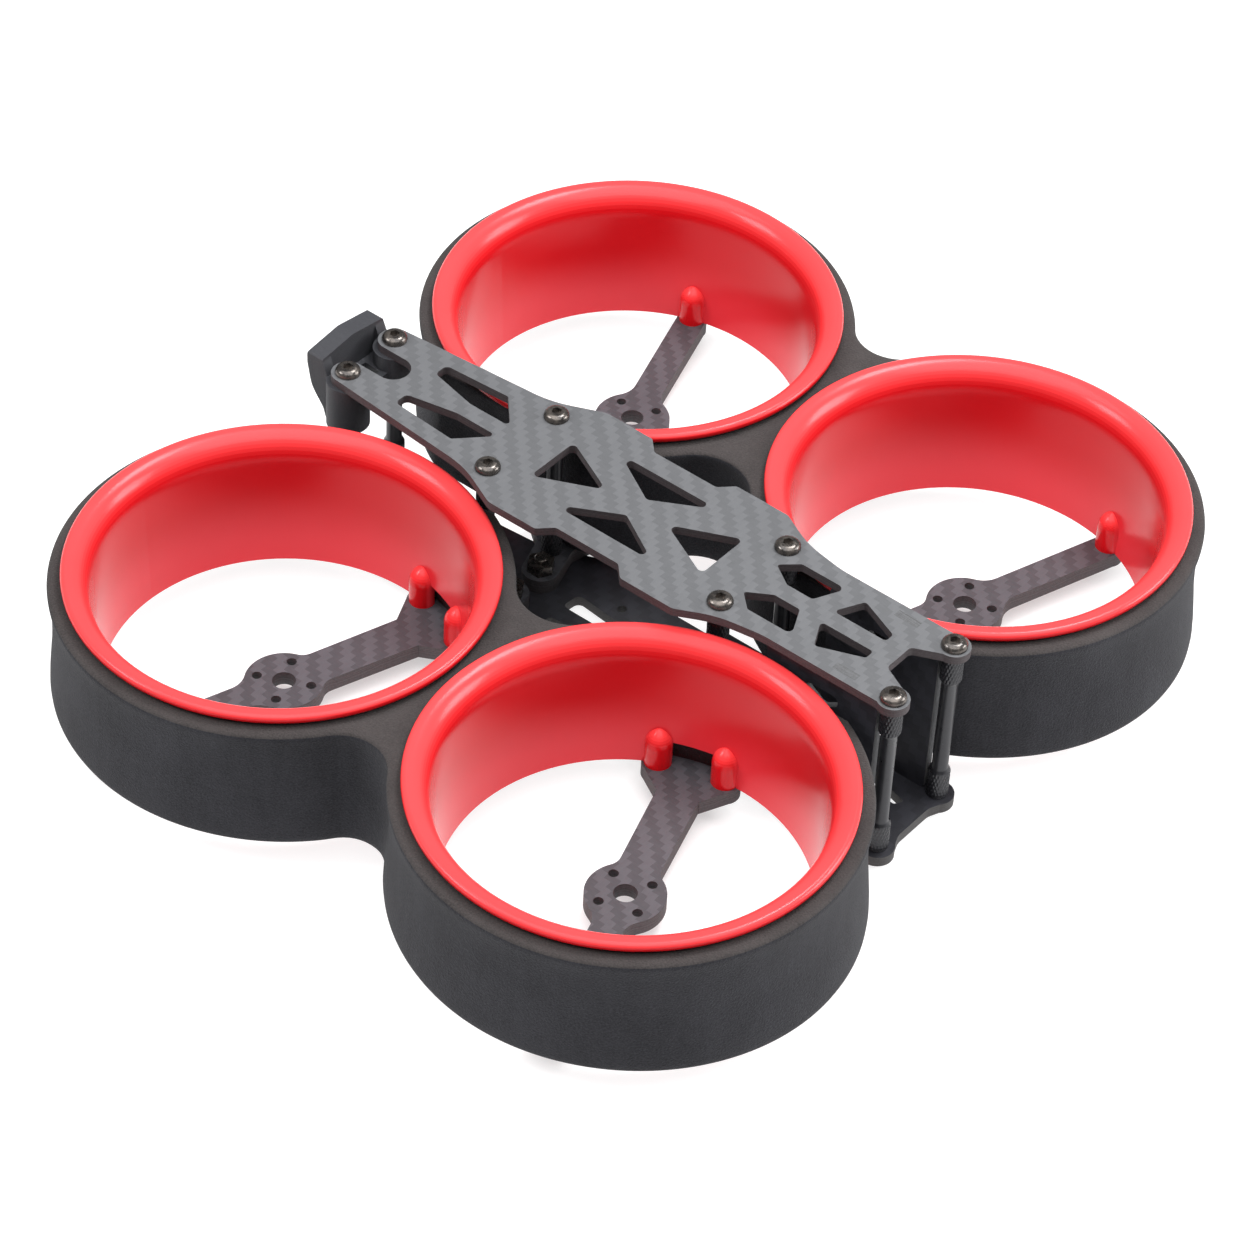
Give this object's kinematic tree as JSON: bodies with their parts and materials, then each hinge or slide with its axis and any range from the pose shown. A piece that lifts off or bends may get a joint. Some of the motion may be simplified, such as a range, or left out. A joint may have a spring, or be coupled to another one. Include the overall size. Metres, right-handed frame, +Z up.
{
  "type": "fpv racing drone",
  "caption": "Bare racing quadcopter airframe: red bell-mouthed ducts in grey foam guards on carbon arms, with a slim two-deck carbon body on knurled posts.",
  "frame": {"origin": "on the ground, under the middle of the four duct axes; the ground touches the lower screw heads", "axes": "+X to the nose, +Y to the left side, +Z up"},
  "size_m": [0.1908, 0.2136, 0.0492],
  "materials": {
    "carbon_plate": "satin",
    "duct_plastic": "satin",
    "guard_foam": "matte",
    "printed_rubber": "matte",
    "black_aluminium": "satin",
    "dark_steel": "satin"
  },
  "bodies": {
    "root": {"bottom_plate": "carbon_plate", "top_plate": "carbon_plate", "front_left_arm": "carbon_plate", "front_right_arm": "carbon_plate", "rear_left_arm": "carbon_plate", "rear_right_arm": "carbon_plate", "front_left_duct": "duct_plastic", "front_right_duct": "duct_plastic", "rear_left_duct": "duct_plastic", "rear_right_duct": "duct_plastic", "front_left_duct_screws": "dark_steel", "front_right_duct_screws": "dark_steel", "rear_left_duct_screws": "dark_steel", "rear_right_duct_screws": "dark_steel", "left_foam_guard": "guard_foam", "right_foam_guard": "guard_foam", "left_camera_plate": "carbon_plate", "right_camera_plate": "carbon_plate", "rear_antenna_mount": "printed_rubber", "front_left_post": "black_aluminium", "front_right_post": "black_aluminium", "front_middle_left_post": "black_aluminium", "front_middle_right_post": "black_aluminium", "rear_middle_left_post": "black_aluminium", "rear_middle_right_post": "black_aluminium", "rear_left_post": "black_aluminium", "rear_right_post": "black_aluminium", "top_plate_screws": "dark_steel", "bottom_plate_screws": "dark_steel", "arm_lock_screws": "dark_steel", "arm_lock_nuts": "dark_steel"}
  },
  "joints": []
}
